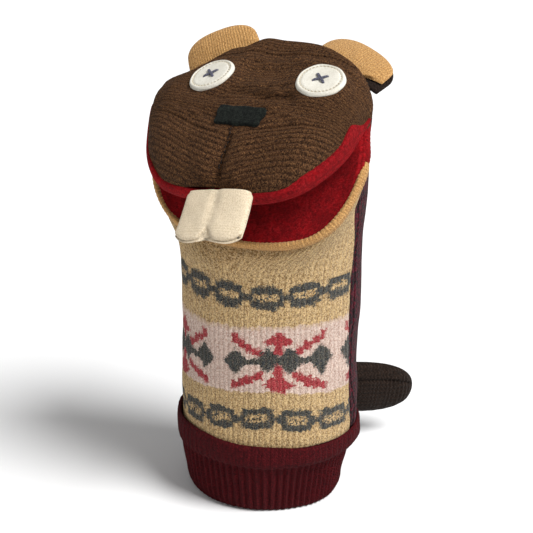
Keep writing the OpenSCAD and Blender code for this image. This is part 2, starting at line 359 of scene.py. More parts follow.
class Net:
    """A wool material's node tree."""

    def __init__(self, name, roughness=0.95, sheen=0.25, tint=WHITE):
        self.material = bpy.data.materials.new(name)
        self.material.use_nodes = True
        self.tree = self.material.node_tree
        self.shader = self.tree.nodes["Principled BSDF"]
        for socket, value in (("Roughness", roughness), ("Specular IOR Level", 0.12), ("Sheen Weight", sheen),
                              ("Sheen Roughness", 0.45), ("Sheen Tint", tint)):
            self.shader.inputs[socket].default_value = value
        uv = self.tree.nodes.new("ShaderNodeUVMap")
        uv.uv_map = "UVMap"
        split = self.tree.nodes.new("ShaderNodeSeparateXYZ")
        self.put(uv.outputs["UV"], split.inputs[0])
        self.u, self.v = (Value(self, split.outputs[i]) for i in (0, 1))

    def put(self, value, socket):
        """Links a value or an output to a socket, or sets the socket to a plain number or colour."""
        if isinstance(value, Value):
            value = value.socket
        if hasattr(value, "is_linked"):
            self.tree.links.new(value, socket)
        else:
            socket.default_value = value

    def node(self, kind, inputs):
        """New node with its inputs by number or name."""
        node = self.tree.nodes.new(kind)
        for name, value in inputs.items():
            self.put(value, node.inputs[name])
        return node

    def math(self, kind, *inputs, clamp=False):
        node = self.node("ShaderNodeMath", dict(enumerate(inputs)))
        node.operation, node.use_clamp = kind, clamp
        return Value(self, node.outputs[0])

    def noise(self, scale, detail=2.0, stretch=(1, 1), seed=0.0, rough=0.6):
        """Noise between 0 and 1, with grains of 1 / scale millimetres."""
        at = self.node("ShaderNodeCombineXYZ", {0: self.u * stretch[0], 1: self.v * stretch[1], 2: seed})
        node = self.node("ShaderNodeTexNoise", {"Vector": at.outputs[0], "Scale": scale, "Detail": detail,
                                                "Roughness": rough})
        return Value(self, node.outputs["Fac"])

    def colour(self, factor, a, b):
        node = self.node("ShaderNodeMix", {})
        node.data_type = "RGBA"
        for socket, value in (("Factor", factor), ("A", a), ("B", b)):
            self.put(value, node.inputs[socket])
        return node.outputs["Result"]

    def knit(self, width, height, rows=0.34):
        """Height of a stocking-stitch surface, from 0 to 1. Felting hides its rows."""
        wobble = self.noise(0.12, 1, seed=3.1) - 0.5
        across = ((self.u + wobble * 1.6) / width).fract()
        leg = (across * 2 - 1).abs()
        row = (self.v + wobble * 1.2) / height + leg * 0.7
        ridge = (across * pi).sin().abs().power(0.6)
        return ridge * ((1 - rows) + rows * (row * TURN).sin())

    def fuzz(self, seed=0.0):
        """Loose fibres on the surface, from 0 to 1."""
        fine = self.noise(2.4, 4, seed=seed, rough=0.75)
        return (fine - 0.5) * 1.3 + 0.5 + (self.noise(0.9, 2, (1, 0.5), seed + 5.0) - 0.5) * 0.5

    def finish(self, colour, height, depth):
        """Sets the colour and a bump whose height is depth millimetres where height is 1."""
        bump = self.node("ShaderNodeBump", {"Strength": 1.0, "Distance": depth / 1000, "Height": height})
        self.put(colour, self.shader.inputs["Base Color"])
        self.put(bump.outputs[0], self.shader.inputs["Normal"])
        return self.material


def heather(net, dark, middle, light, seed=0.0, grain=1.5, spread=3.2):
    """Mixed fibres: flecks of a darker and a lighter colour in the middle one."""
    low = (net.noise(grain, 2, (1, 0.6), seed) - 0.5) * spread + 0.5
    high = (net.noise(grain * 1.7, 2, (0.7, 1), seed + 9.0) - 0.58) * spread + 0.4
    return net.colour(high.clamp(), net.colour(low.clamp(), rgb(*dark), rgb(*middle)), rgb(*light))


def front_knit_material():
    """Beige stocking stitch with two chain stripes and a pale band of snowflakes between them."""
    net = Net("front_knit", sheen=0.1)
    flake_u, flake_z, flake_reach = 27.0, 90.5, 32.75       # middle of a snowflake, half its repeat
    link_reach = 10.05                                      # half the repeat of a chain's links

    def worked(place_along, stitch, coarse, fine):
        """The pattern is worked in whole stitches, whose edges felting has made ragged."""
        place_along = (place_along + (net.noise(0.35, 2, seed=coarse) - 0.5) * 4.4
                       + (net.noise(1.6, 2, seed=fine) - 0.5) * 1.9)
        return mix(place_along, (place_along / stitch).floor() * stitch + stitch / 2, 0.7)

    u, v = worked(net.u, 1.9, 1.7, 2.9), worked(net.v, 1.7, 7.3, 8.8)

    def chain(centre, offset):
        """Links with thick flat tops and bottoms, flecked within."""
        along = (u - offset).wrap(link_reach).abs()
        rise = (v - centre).abs()
        bars = ((rise - 4.2 + (along - 3).max(0) * 0.22).abs() - 2.2).max(along - 8.0)
        ends = (rise - 2.6).max((along - 7.6).abs() - 1.7)
        tie = (rise - 1.6).max(7.4 - along)
        inside = (rise - 3.4).max(along - 8.0).below(0.0, 1.0)
        specks = inside * ((net.noise(1.0, 1, seed=5.5) - 0.49) * 9).clamp()
        return bars.min(ends).min(tie).below(0.0, 1.6).max(specks)

    a, b = (u - flake_u).wrap(flake_reach).abs(), v - flake_z

    def diamond(at, half_w, half_h):
        return ((a - at).abs() / half_w + b.abs() / half_h).below(1.0, 0.35)

    grey = diamond(5.6, 7.6, 7.4).max(diamond(22.8, 7.2, 7.6)).max(b.abs().max(a - 17).below(1.8, 1.2))
    stem = a.max((b.abs() - 8.4).abs() - 3.4).below(2.5, 1.4)
    bar = ((b - 9.8).abs() * 2.2 + (a - 4.2).max(0)).below(4.6, 1.8)
    crown = (a / 4.0 + (b - 12.2).abs() / 3.4).below(1.0, 0.4)
    fan = ((b + 13.0).abs() * 1.4 + (a - 3.2).max(0)).below(5.6, 1.8)
    step = mix((a / 4.4).floor() * 4.4 + 2.2, a, 0.25)
    span = (a - 16.4).abs() - 6.6
    upper = (b - (step * 0.57 - 1.4)).abs().max(span)
    lower = (b + (step * 0.33 + 4.9)).abs().max(span)
    red = stem.max(bar).max(crown).max(fan).max(upper.min(lower).below(2.3, 1.6))

    beige = heather(net, (116, 84, 46), (198, 166, 116), (236, 214, 170), 2.0, 1.7, 5.0)
    pale = heather(net, (160, 126, 112), (206, 182, 168), (238, 224, 212), 4.0, 1.6)
    slate = heather(net, (12, 16, 20), (42, 50, 58), (132, 126, 108), 6.0, 1.6, 4.0)
    scarlet = heather(net, (96, 8, 20), (154, 20, 38), (208, 116, 114), 8.0, 1.6)
    band = (v - 90.6).abs().below(17.6, 1.6)
    ragged = (net.noise(1.3, 3, seed=11.0, rough=0.7) - 0.5) * 3.8 + 0.5

    def worn(mask):
        """The mask with threads of the ground showing through it."""
        return (mask * 1.95 - ragged).clamp()

    colour = net.colour(band, beige, pale)
    colour = net.colour(worn(red) * band, colour, scarlet)
    colour = net.colour(worn(grey) * band, colour, slate)
    colour = net.colour(worn(chain(57.0, -4.0).max(chain(124.0, 0.0))), colour, slate)
    valley = net.knit(2.9, 2.3, rows=0.2)
    # painted shade: the knit's valleys are darkened towards a brown shade colour
    colour = net.colour(((0.45 - valley * 0.7) * 0.6).clamp(), colour, rgb(84, 58, 36))
    return net.finish(colour, valley * 0.5 + net.fuzz() * 0.6, 0.7)


def knit_material(name, dark, middle, light, stitch, depth, seed, shade, sheen=0.1, valley_mix=0.5,
                  spread=3.2, tint=WHITE, rows=0.34):
    """Plain knit in stitches of this width and height, whose valleys are shaded."""
    net = Net(name, sheen=sheen, tint=tint)
    valley = net.knit(*stitch, rows=rows)
    colour = heather(net, dark, middle, light, seed, spread=spread)
    colour = net.colour((valley_mix - valley * valley_mix * 1.2).clamp(), colour, rgb(*shade))
    return net.finish(colour, valley * 0.75 + net.fuzz(seed) * 0.5, depth)


def felt_material(name, dark, middle, light, depth, seed, sheen, spread, tint=WHITE):
    net = Net(name, sheen=sheen, tint=tint)
    colour = heather(net, dark, middle, light, seed, 0.9, spread)
    cloud = (net.noise(0.09, 2, seed=seed + 2.0) - 0.5) * 1.6
    colour = net.colour((0.25 + cloud).clamp(), colour, rgb(*dark))
    return net.finish(colour, net.fuzz(seed), depth)


def marled_material():
    """Two dark yarns knitted together, which show as short stripes in each stitch."""
    net = Net("back_knit", sheen=0.05)
    valley = net.knit(2.6, 2.4, rows=0.2)
    pick = (net.noise(0.9, 1, (1, 0.5), 4.0) - 0.5) * 7 + 0.5
    wine = heather(net, (36, 5, 13), (76, 14, 30), (116, 36, 50), 1.0)
    black = heather(net, (8, 5, 7), (28, 15, 19), (54, 32, 37), 3.0)
    colour = net.colour(pick.clamp(), wine, black)
    return net.finish(colour, valley * 0.75 + net.fuzz() * 0.5, 0.9)


def thread_material(name, dark, light):
    """Plied thread, twisted round its length, with painted shade: its colour runs from the dark one in the
    grooves between the plies to the light one on their crests.
    """
    net = Net(name, 0.75, 0.15)
    twist = ((net.v * 5.2 + net.u * 2.6).sin() * 0.5 + 0.5).power(0.7)
    return net.finish(net.colour(twist, rgb(*dark), rgb(*light)), twist + net.noise(5.0, 2) * 0.3, 0.25)


MAT = {
    "front": front_knit_material(),
    "back": marled_material(),
    "cuff": knit_material(
        "cuff_rib", (30, 3, 5), (68, 8, 13), (102, 22, 28), (1.8, 1.7), 0.5, 1.0, (18, 1, 4),
        valley_mix=0.4, spread=2.6, sheen=0.0),
    "tan": knit_material(
        "tan_knit", (136, 88, 42), (204, 156, 94), (230, 192, 134), (1.5, 1.5), 0.55, 2.0, (136, 92, 48),
        valley_mix=0.25, rows=0.2),
    "brown": knit_material(
        "brown_knit", (28, 16, 10), (78, 51, 32), (138, 98, 62), (2.9, 2.4), 0.9, 3.0, (28, 16, 10),
        spread=4.2, sheen=0.04, tint=rgb(150, 110, 80), rows=0.2),
    "bark": knit_material(
        "dark_brown_knit", (16, 11, 8), (40, 28, 22), (62, 47, 38), (2.6, 2.2), 0.8, 4.0, (12, 8, 6),
        sheen=0.03),
    "tooth": knit_material(
        "cream_knit", (182, 162, 132), (216, 199, 171), (236, 224, 202), (1.3, 1.25), 0.22, 8.0,
        (186, 164, 130), valley_mix=0.1, spread=1.8, rows=0.45),
    "red": felt_material(
        "red_felt", (92, 4, 10), (156, 10, 18), (188, 34, 40), 0.7, 5.0, 0.06, 2.8, rgb(220, 60, 60)),
    "eye": felt_material(
        "cream_felt", (196, 190, 174), (228, 224, 212), (240, 238, 230), 0.3, 6.0, 0.08, 1.2),
    "nose": felt_material("nose_felt", (6, 8, 7), (20, 24, 21), (48, 54, 47), 0.6, 7.0, 0.02, 3.0),
    "grey_thread": thread_material("grey_thread", (44, 44, 58), (110, 110, 128)),
    "dark_thread": thread_material("dark_thread", (14, 8, 6), (38, 25, 18)),
    "cream_thread": thread_material("cream_thread", (176, 160, 130), (228, 216, 192)),
}


# ---- shared surfaces

def wall_r(z):
    """Radius of the sleeve at a height."""
    return mix(SLEEVE_R, NECK_R, np.clip((z - WRIST_Z) / (NAPE_Z - WRIST_Z), 0, 1))


def round_sleeve(angle, z, r):
    """Points on the sleeve: angle in radians from the face towards +X, where the side seam wanders."""
    wander = radians(3.2) + radians(7) * bell(z - 46, 20)
    angle = angle + wander * bell(angle - SEAM_ANGLE, 0.55) * (1 - smooth((z - 148) / 20))
    return stack(r * sin(angle), -r * cos(angle), z)


def wales(angle):
    """Fine upright ribs of the sleeve's knit, cut into its surface."""
    return (np.abs(sin(angle * SLEEVE_R * pi / RIB)) ** 0.8 - 1) * 0.3


def sleeve_shape(angle, z, seed):
    """Radius of the cloth: an uneven tube with fine upright ribs."""
    p = round_sleeve(angle, z, SLEEVE_R)
    return wall_r(z) + crumple(p, seed, (46, 0.55), (19, 0.22)) + wales(angle)


def turn_in(from_face):
    """How far a panel turns in at its side seams, by its angle from the face on either side."""
    return 1.7 * bell((from_face - SEAM_ANGLE) * SLEEVE_R, 2.2)


def on_slope(x, d, h, slope):
    """A point x across, d in front of the fold and h above a plane that slopes down from it."""
    return stack(x, FOLD_Y - d * cos(slope) - h * sin(slope),
                 FOLD_Z - d * sin(slope) + h * cos(slope))


def on_head(x, d, h):
    """A point over the upper jaw's plane, which leans to the puppet's right."""
    lean = np.minimum(1, np.maximum(0, np.maximum(d / 45, h / 15)))
    return on_slope(x, d, h + x * tan(ROLL) * lean, UPPER_SLOPE)


def on_lower(x, d, below):
    """A point under the lower jaw's plane."""
    return on_slope(x, d, -below, LOWER_SLOPE)


def head_w(d):
    """Half the head's width, in front of the fold and behind it."""
    return UPPER_W * np.where(d > 0, dome(d / UPPER_LEN, UPPER_POWER), dome(-d / SEAM_BACK, SEAM_POWER))


def head_top_h(d):
    back = mix(TOP_BACK, TOP_BROW, sin(pi / 2 * (d + SEAM_BACK) / (BROW_D + SEAM_BACK)))
    front = TOP_BROW * dome((d - BROW_D) / (UPPER_LEN - BROW_D), 2.4, 1 / 1.7)
    return np.where(d < BROW_D, back, front)


def head_base_h(d):
    return SEAM_RISE * (np.clip(-d, 0, None) / SEAM_BACK) ** 3


def seam_point(a, inset):
    """The head's back seam, a running from 0 at the left corner of the mouth to pi at the right."""
    x = (UPPER_W - inset) * spow(cos(a), 2 / SEAM_POWER)
    d = -(SEAM_BACK + 0.5 - inset) * np.abs(sin(a)) ** (2 / SEAM_POWER)
    return on_head(x, d, SEAM_RISE * (-d / SEAM_BACK) ** 3 - 0.3)


def tilt(x):
    """How far the sleeve's knitted rows stand up on the puppet's right."""
    return -x * 0.045


def rows_at(angle, z, x):
    """Height in the knit of a place on the front, whose lower rows sag at both sides."""
    sag = 7.8 * (1 - np.exp(-np.clip(0.44 - angle, 0, None) / 0.7)) * smooth((126 - z) / 34)
    spread = 4.2 * smooth((angle - 0.35) / 0.95) * (smooth((92 - z) / 20) - smooth((z - 98) / 26))
    return z - tilt(x) + sag + spread - 1.2 * smooth((80 - z) / 20)


# ---- cuff

def make_cuff():
    ribs, per_rib, between, uv_r = 74, 9, 5, 44
    profile = np.array([  # radius, height, how strongly it is ribbed
        (39.4, 0, 0.3), (40.8, 0.15, 0.5), (42, 1.2, 0.8), (43, 4, 1), (43.8, 8, 1), (44.6, 13, 1),
        (45.5, 18, 1), (46.4, 22.5, 1), (47.2, 26, 1), (47.9, 27.8, 0.8), (49.6, 29.2, 0.45),
        (50.6, 31.5, 0.3), (50.9, 34.5, 0.22), (50.9, 38, 0.2), (50.6, 40.6, 0.2), (49.9, 41.9, 0.2),
        (49, 42, 0.15), (48.45, 41, 0.1), (48.4, 38, 0), (45.6, 36.8, 0), (44.6, 34, 0), (41.6, 29.5, 0),
        (38.9, 25.5, 0.1), (38.6, 20, 0.2), (38.6, 8, 0.2), (38.6, 1.6, 0.2), (38.8, 0.4, 0.2)])
    outer_steps = 17 * between                                  # the profile's outer side
    t = np.linspace(0, len(profile), len(profile) * between, endpoint=False)
    closed = np.vstack([profile, profile[:1]])
    prof = np.stack([np.interp(t, range(len(closed)), closed[:, k]) for k in range(3)], 1)
    for _ in range(3):
        prof[:, :2] = (np.roll(prof[:, :2], 1, 0) + prof[:, :2] * 2 + np.roll(prof[:, :2], -1, 0)) / 4
    r, z, rib = (prof[:, k][:, None] for k in range(3))
    theta = circle(ribs * per_rib)[None, :]
    p = stack(r * sin(theta), -r * cos(theta), z)
    outside = (r > 39.2) & (np.arange(len(prof))[:, None] < outer_steps)
    wander = lumps(p * [1, 1, 0.3], 60, 5) * 0.03
    groove = (0.5 - 0.5 * cos(ribs * (theta + wander))) ** 1.3
    r = r - groove * rib * np.where(outside, 1.35, 0.4)
    r = r + np.where(outside, crumple(p, 8, (34, 0.6), (13, 0.2)), 0)
    # the lower part of the cuff is drawn in towards one side, and its top edge follows the tilted rows
    drawn = -2.6 * smooth((34 - z) / 12) * (0.55 + 0.45 * smooth(z / 9)) * outside
    side = sin(theta - radians(VIEW_AZ))
    r = r + drawn * np.clip(side, -0.6, 1)
    x = r * sin(theta)
    rise = smooth((z - 26) / 12) * (tilt(x) + lumps(p, 40, 12) * 0.5)
    p = np.swapaxes(stack(x, -r * cos(theta), z + rise), 0, 1)
    uv = np.swapaxes(stack(theta * uv_r, run(prof[:, :2])[:, None]), 0, 1)
    p = np.concatenate([p, p[:1]])
    uv = np.concatenate([uv, uv[:1] + [TURN * uv_r, 0]])
    faces = grid_faces(*p.shape[:2], True)
    obj = new_object("cuff", p.reshape(-1, 3), faces, uv.reshape(-1, 2), "cuff")
    settle(weld(obj), "cuff_rib", "sleeve", "hem_cuff")


# ---- sleeve panels

def make_front():
    angle = row(-SEAM_ANGLE, SEAM_ANGLE, 321)
    z = column(CUFF_H - LAP, THROAT_Z, 150)
    z, angle = np.broadcast_arrays(z, angle)
    p = round_sleeve(angle, z, sleeve_shape(angle, z, FRONT_SEED) - turn_in(np.abs(angle)))
    obj = cloth("front_panel", p, stack(angle * SLEEVE_R, rows_at(angle, z, p[..., 0])), "front")
    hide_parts("front_panel_lower", "front_panel_wrist")
    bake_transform(obj)


def side_edge(v, side):
    """Edge shared by the throat and the back, from the sleeve at v = 0 to the mouth's corner at 1."""
    z = mix(THROAT_Z, FOLD_Z - 1.5, v)
    out = smooth((z - 172) / (FOLD_Z - 172))
    p = round_sleeve(side * SEAM_ANGLE + 0 * z, z, wall_r(z))
    p[..., 0] += side * out * 4.6
    p[..., 1] = mix(p[..., 1], FOLD_Y + 1, out)
    return p


def meet_side_edges(p, v, left, left_end, right_end, near):
    """Moves a panel's two sides onto the shared edges. left says which columns are on the +X side."""
    edge = np.where(left[..., None], side_edge(v, 1), side_edge(v, -1))
    ends = np.where(left[..., None], left_end, right_end)
    return (edge - ends) * near[..., None]


def make_throat():
    a = row(-SEAM_ANGLE, SEAM_ANGLE, 281)
    v = column(0, 1, 60)
    low = round_sleeve(a, np.full_like(a, THROAT_Z), sleeve_shape(a, THROAT_Z, FRONT_SEED))
    # it ends on the lip, at the same share of the way from corner to corner
    t = a / SEAM_ANGLE * pi / 2
    high = on_lower(*jaw_edge(t), 4.6)
    # upright where it leaves the sleeve, then swelling out under the jaw
    upright = low + np.array([0, 0, 1.0]) * (high[..., 2:] - THROAT_Z) * v[..., None]
    p = mix(upright, mix(low, high, v[..., None]), smooth(v * 1.15)[..., None])
    out = stack(sin(a), -cos(a), 0)
    p = p + out * (sin(pi * v) * cos(t) ** 0.6 * 1.6)[..., None]
    near = bell((SEAM_ANGLE - np.abs(a)) * SLEEVE_R, 14)
    p = p + meet_side_edges(p, v, a > 0, p[:, -1:], p[:, :1], near)
    uneven = lumps(p, 30, 31) * 0.5 * sin(pi * v)
    p = p + out * (wales(a) * v + uneven - turn_in(np.abs(a)))[..., None]
    uv = stack(a * SLEEVE_R, THROAT_Z + run(p) - tilt(low[..., 0]))
    obj = cloth("throat_panel", p, uv, "front")
    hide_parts("front_panel_upper", "front_panel_throat")
    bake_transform(obj)


def make_back():
    a = row(SEAM_ANGLE, TURN - SEAM_ANGLE, 301)
    seams = turn_in(pi - np.abs(a - pi))
    z = column(CUFF_H - LAP, PANEL_Z, 160)
    z, angle = np.broadcast_arrays(z, a)
    p = round_sleeve(angle, z, sleeve_shape(angle, z, BACK_SEED) - seams)
    lower = cloth("back_panel", p, stack(angle * SLEEVE_R, z - tilt(p[..., 0])), "back")
    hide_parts("back_panel_lower", "back_panel_wrist", "back_panel_upper")
    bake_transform(lower)

    # from there a curve leads over the hand to the head's back seam
    v = column(0, 1, 90)
    s = (a - SEAM_ANGLE) / (TURN - 2 * SEAM_ANGLE) * pi      # 0 at the left corner
    z = np.full_like(a, PANEL_Z)
    start = round_sleeve(a, z, sleeve_shape(a, z, BACK_SEED) - wales(a))
    end = seam_point(s, 1.4)
    rise = start + stack(0, 0, mix(34.0, 44.0, sin(s)))
    fall = end + stack(0, 11.0 * sin(s), -15 + 12 * sin(s))
    w = v[..., None]
    p = (1 - w) ** 3 * start + 3 * (1 - w) ** 2 * w * rise + 3 * (1 - w) * w ** 2 * fall + w ** 3 * end
    near = bell((pi - np.abs(a - pi) - SEAM_ANGLE) * SLEEVE_R, 12)
    up_side = (p[:, :1, 2] - THROAT_Z) / (FOLD_Z - THROAT_Z)
    p = p + meet_side_edges(p, up_side, s < pi / 2, p[:, :1], p[:, -1:], near) * [1, 1, 0]
    bumps = crumple(p, 43, (40, 0.7), (17, 0.25)) * sin(pi * v)
    p = p + normals(p) * ((bumps + wales(a)) * (1 - v ** 6) - seams)[..., None]
    uv = stack(a * SLEEVE_R, PANEL_Z + run(p) - tilt(start[..., 0]))
    upper = cloth("nape_panel", p, uv, "back")
    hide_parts("back_panel_nape")
    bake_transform(upper)


# ---- lower jaw

def jaw_swell(x, d, share=1.0):
    """Places on the lower jaw's plane, eased out past the jaw to where the rolled lip runs."""
    side, front = x / LOWER_W, d / LOWER_LEN
    reach = np.sqrt(side ** 2 + front ** 2) + 1e-6
    out = mix(-0.6, 3.2, smooth((d - 6) / 20)) + 2.8 * bell(np.arctan2(front, side) - 0.80, 0.30)
    grow = 1 + share * out / LOWER_W * np.clip(reach, 0, 1) / reach
    return x * grow, d * grow


def jaw_edge(t):
    """Places along the lower jaw's edge, t running from -pi / 2 at one corner to pi / 2."""
    f = cos(t) ** (2 / LOWER_POWER)
    x = LOWER_W * spow(sin(t), 2 / LOWER_POWER) * (1 - PINCH * (1 - f) ** 5)
    return jaw_swell(x, LOWER_LEN * f)


def make_lower_jaw():
    b = column(0, pi / 2, 90)
    d = LOWER_LEN * sin(b) ** (2 / LOWER_POWER)
    s = sin(row(-1, 1, 141) * pi / 2)
    f = np.minimum(d / LOWER_LEN, 0.9995)
    x = s * LOWER_W * dome(f, LOWER_POWER) * (1 - PINCH * (1 - f) ** 5)
    edge = np.clip(1 - np.maximum(np.abs(s) ** 3, (d / LOWER_LEN) ** 5), 0, 1)
    sag = 4.5 * edge ** 0.8 * smooth(d / 22) + 1.6 * (1 - smooth(edge / 0.1))
    sag = sag - 3.4 * bell(d - 19, 13) * smooth((np.abs(s) - 0.62) / 0.3)       # full corners
    x, d = jaw_swell(x, d, 0.86)
    p = on_lower(x, d, sag)
    p = p + normals(p) * (crumple(p, 51, (30, 0.9), (12, 0.25)) * edge)[..., None]
    lining = cloth("lower_lining", p, stack(x, d), "red", 1.6, flip=True)
    settle(lining, "red_felt", "lower_jaw", "lower_mouth_lining", "lower_mouth_board")

    # the lip is the knit rolled over the lining's edge, and felt takes its place near the mouth's corners
    lip = jaw_roll("lower_lip", "tan", lambda d: smooth((d - 12) / 16))
    settle(lip, "tan_knit", "lower_jaw", "lower_jaw_lip")
    corners = jaw_roll("lower_corners", "red", lambda d: 1 - 0.9 * smooth((d - 16) / 16))
    settle(corners, "red_felt", "lower_jaw")


def jaw_roll(name, material, share):
    """A roll along the lower jaw's edge. share gives its fullness at a distance from the fold."""
    half_w, half_h, ply = 1.9, 3.4, 2.4
    x, d = jaw_edge(column(-pi / 2, pi / 2, 420))
    middle = on_lower(x, d, 0)[:, 0]
    down = np.array([0, sin(LOWER_SLOPE), -cos(LOWER_SLOPE)])
    away = outward(middle, down)
    arc = run(middle)[:, None]
    uneven = 1 + 0.08 * lumps(middle[:, None], 26, 55) + 0.05 * sin(arc * TURN / ply)
    full = np.maximum(share(d), 0.08) * uneven
    ring = circle(28)
    p = ((middle + down * 2.8)[:, None] + away[:, None] * (cos(ring) * half_w * full)[..., None]
         - down * (sin(ring) * half_h * full)[..., None])
    return weld(ring_solid(name, p, stack(arc, ring * 3.0), material))


# ---- head

def edge_height(x, d):
    """Height above the jaw's plane at which the brown knit meets the red felt."""
    corner = 3.8 * bell(d - 17, 7) * smooth(x / 30)
    return corner + 3.5 * smooth((d - 5) / 12) * (1 - smooth((d - 51) / 9)) + 0.1


def head_warp(p, x, d):
    """Hand-sewn shape: a full right temple, a bump on the crown and an upright left side."""
    temple = bell(d - 4, np.where(d < 4, 15, 27)) * smooth((-x - 22) / 26)
    side = smooth((x - 34) / 20) * (1.0 * bell(d - 2, 12) - 1.2 * bell(d + 22, 12))
    crown = 3.4 * bell(x + 14, 8) * bell(d + 30, 9)
    return p + stack(-7.0 * temple + side, -1.0 * temple, 2.4 * temple + crown)


def knit_flow(d, u, v):
    """Coordinates of the head's knit, which fans out from the muzzle's seam."""
    fan = u - MUZZLE_X
    return v + 0.42 * np.sqrt(fan ** 2 + 36) * smooth((d + 6) / 40) + 1.2 * sin(u / 13), fan


def head_rise(x, d, u, v):
    """Relief of the head's knit: ribs, cables, a creased brow and a pinched muzzle."""
    across, fan = knit_flow(d, u, v)
    rise = (np.abs(sin(across * pi / RIB)) ** 0.8 - 0.6) * mix(0.3, 0.62, smooth((x + 26) / 30))
    cabled = smooth((54 - np.abs(u)) / 14)
    strand = sin(np.abs(fan) * TURN / 15)
    for centre, width in ((56, 4.6), (84, 5.0), (22, 5.0)):
        off = across - centre
        band = bell(off, width) ** 2 * cabled
        rise = rise * (1 - band * 0.7) + band * (0.7 + 1.0 * strand * np.tanh(off / 1.6))
        rise = rise - 0.8 * bell(np.abs(off) - width - 1.6, 0.9) * cabled
    brow = smooth((34 - np.abs(x)) / 14)
    rise = rise + 1.7 * bell(d - 24, 4.5) * brow - 2.4 * bell(d - 14 - 1.5 * sin(x / 9), 2.6) * brow
    muzzle = smooth((d - 34) / 8)
    off = x - MUZZLE_X - 0.10 * (50 - d)
    rise = rise * (1 - 0.6 * muzzle * bell(off, 6))
    return rise - 3.0 * bell(off, 1.9) * muzzle + 1.5 * muzzle * bell(np.abs(off) - 9, 6.5)


def make_head():
    """Makes the head and its lining, and returns the head's surface for what is sewn onto it."""
    cols, last = 281, 64.2                                         # last is where the cloth ends in front
    b = np.linspace(0, 1, 80, endpoint=False)
    back = -SEAM_BACK * cos(b * pi / 2) ** (2 / SEAM_POWER) * 0.999
    front = last * sin(np.linspace(0, pi / 2, 170)) ** (2 / UPPER_POWER)
    d = np.r_[back, front][:, None]
    w, base = head_w(d), head_base_h(d)
    arch = head_top_h(d) - base
    s = row(-1, 1, cols)

    def start(side):
        """Angle of the arch at which the cloth begins."""
        h = np.minimum(edge_height(side * w, d), arch * 0.97)
        return np.arcsin(np.clip(h / np.maximum(arch, 0.01), 0, 1) ** (ARCH_POWER / 2))
    a0, a1 = start(-1), start(1)
    a = a0 + (pi - a0 - a1) * (s + 1) / 2
    x = -w * spow(cos(a), 2 / ARCH_POWER)
    h = base + arch * sin(a) ** (2 / ARCH_POWER)
    x, d, h = np.broadcast_arrays(x, d, h)
    p = head_warp(on_head(x, d, h), x, d)
    n = -normals(p)
    u = run(p, axis=1)
    u = u - u[:, [cols // 2]]
    v = run(p[:, cols // 2])[:, None] + 0 * u
    inside = np.minimum(np.minimum(s + 1, 1 - s) * 40, 8)          # steps in from the cloth's edge
    edge = smooth(inside / 5) * smooth((last - d) / 4) * smooth((v - 1) / 5)
    rise = head_rise(x, d, u, v) * (0.2 + 0.8 * edge)
    rise = rise + crumple(p, 61, (36, 1.0), (15, 0.35)) * edge
    rise = rise + 0.9 * (1 - smooth(inside / 3)) - 0.9
    gap = norm(p - sum(box_mm("nose_patch")) / 2, axis=-1)
    rise = rise * (1 - 0.85 * smooth((15 - gap) / 6))
    p = p + n * (rise * smooth((v - 0.5) / 5))[..., None]
    for side in ("left", "right"):                                 # level seats for the eyes
        middle, _, _, out = cad_seat(f"{side}_eye_disc")
        gap = p - middle
        near = smooth((20 - norm(gap, axis=-1, keepdims=True)) / 7)
        p = p + out * (EYE_SEAT - (gap @ out)[..., None]) * near
    # the mouth's corners hang a little lower than the jaw's plane
    p[..., 2] -= 3.4 * bell(d - 1, 5) * (1 - smooth(inside / 6))
    obj = cloth("head_top", p, stack(*knit_flow(d, u, v)), "brown", 2.2, flip=True)
    settle(obj, "brown_knit", "head", "head_top", "snout_filling")
    make_upper_lining()
    faces = grid_faces(len(p), cols)
    return BVHTree.FromPolygons([Vector(q) for q in p.reshape(-1, 3)], faces.tolist())


def make_upper_lining():
    """Red felt under the head, which rolls up over the edge of the jaw to meet the brown knit."""
    b = column(0.02, pi / 2, 80)
    d = UPPER_LEN * sin(b) ** (2 / UPPER_POWER)
    a = row(0, pi, 141)
    x = -(head_w(np.minimum(d, UPPER_LEN - 0.01)) - 0.4) * spow(cos(a), 0.45)
    p = on_head(x, d, -(0.2 + 3.0 * smooth(d / 46)) * sin(a) ** 0.55)
    p = head_warp(p, x, d) + (lumps(p, 24, 64) * 0.3 * sin(a))[..., None] * [0, 0.4, -0.9]
    lining = cloth("upper_lining", p, stack(x, d), "red", 0.9)

    t = column(-pi / 2, pi / 2, 420)
    x = UPPER_W * spow(sin(t), 2 / UPPER_POWER)
    d = UPPER_LEN * np.abs(cos(t)) ** (2 / UPPER_POWER)
    high = edge_height(x, d) + 0.9
    low = -0.8 - 4.4 * smooth(d / 24)
    middle = head_warp(on_head(x, d, (high + low) / 2), x, d)[:, 0]
    up = np.array([0, -sin(UPPER_SLOPE), cos(UPPER_SLOPE)])
    away = outward(middle, up)
    ring = circle(32)
    tall = (high - low) / 2 + 0.5 * smooth(d / 6)
    thick = (2.3 - 0.9 * np.abs(sin(t)) ** 12) * (1 + 0.07 * lumps(middle[:, None], 22, 65))
    p = (middle[:, None] - away[:, None] * 0.7 + away[:, None] * (cos(ring) * thick)[..., None]
         + up * (spow(sin(ring), 0.9) * tall)[..., None])
    rim = weld(ring_solid("rim", p, stack(run(middle)[:, None], 90 + ring * 3.0), "red"))
    lining = join("upper_lining", [lining, rim])
    settle(lining, "red_felt", "head", "upper_mouth_lining", "upper_mouth_board")


# ---- eyes and nose

def cad_points(node):
    return np.array([v.co for v in frame["nodes"][node].data.vertices]) * 1000


def cad_seat(node):
    """Seat of a flat CAD node: its middle, and its directions across, up and out of its face."""
    co = cad_points(node)
    _, _, axes = svd(co - co.mean(0), full_matrices=False)
    out = axes[2] * np.sign(axes[2] @ np.array([0, -0.5, 0.9]))
    across = np.array([1.0, 0, 0]) - out * out[0]
    across /= norm(across)
    return (co.max(0) + co.min(0)) / 2, across, np.cross(out, across), out


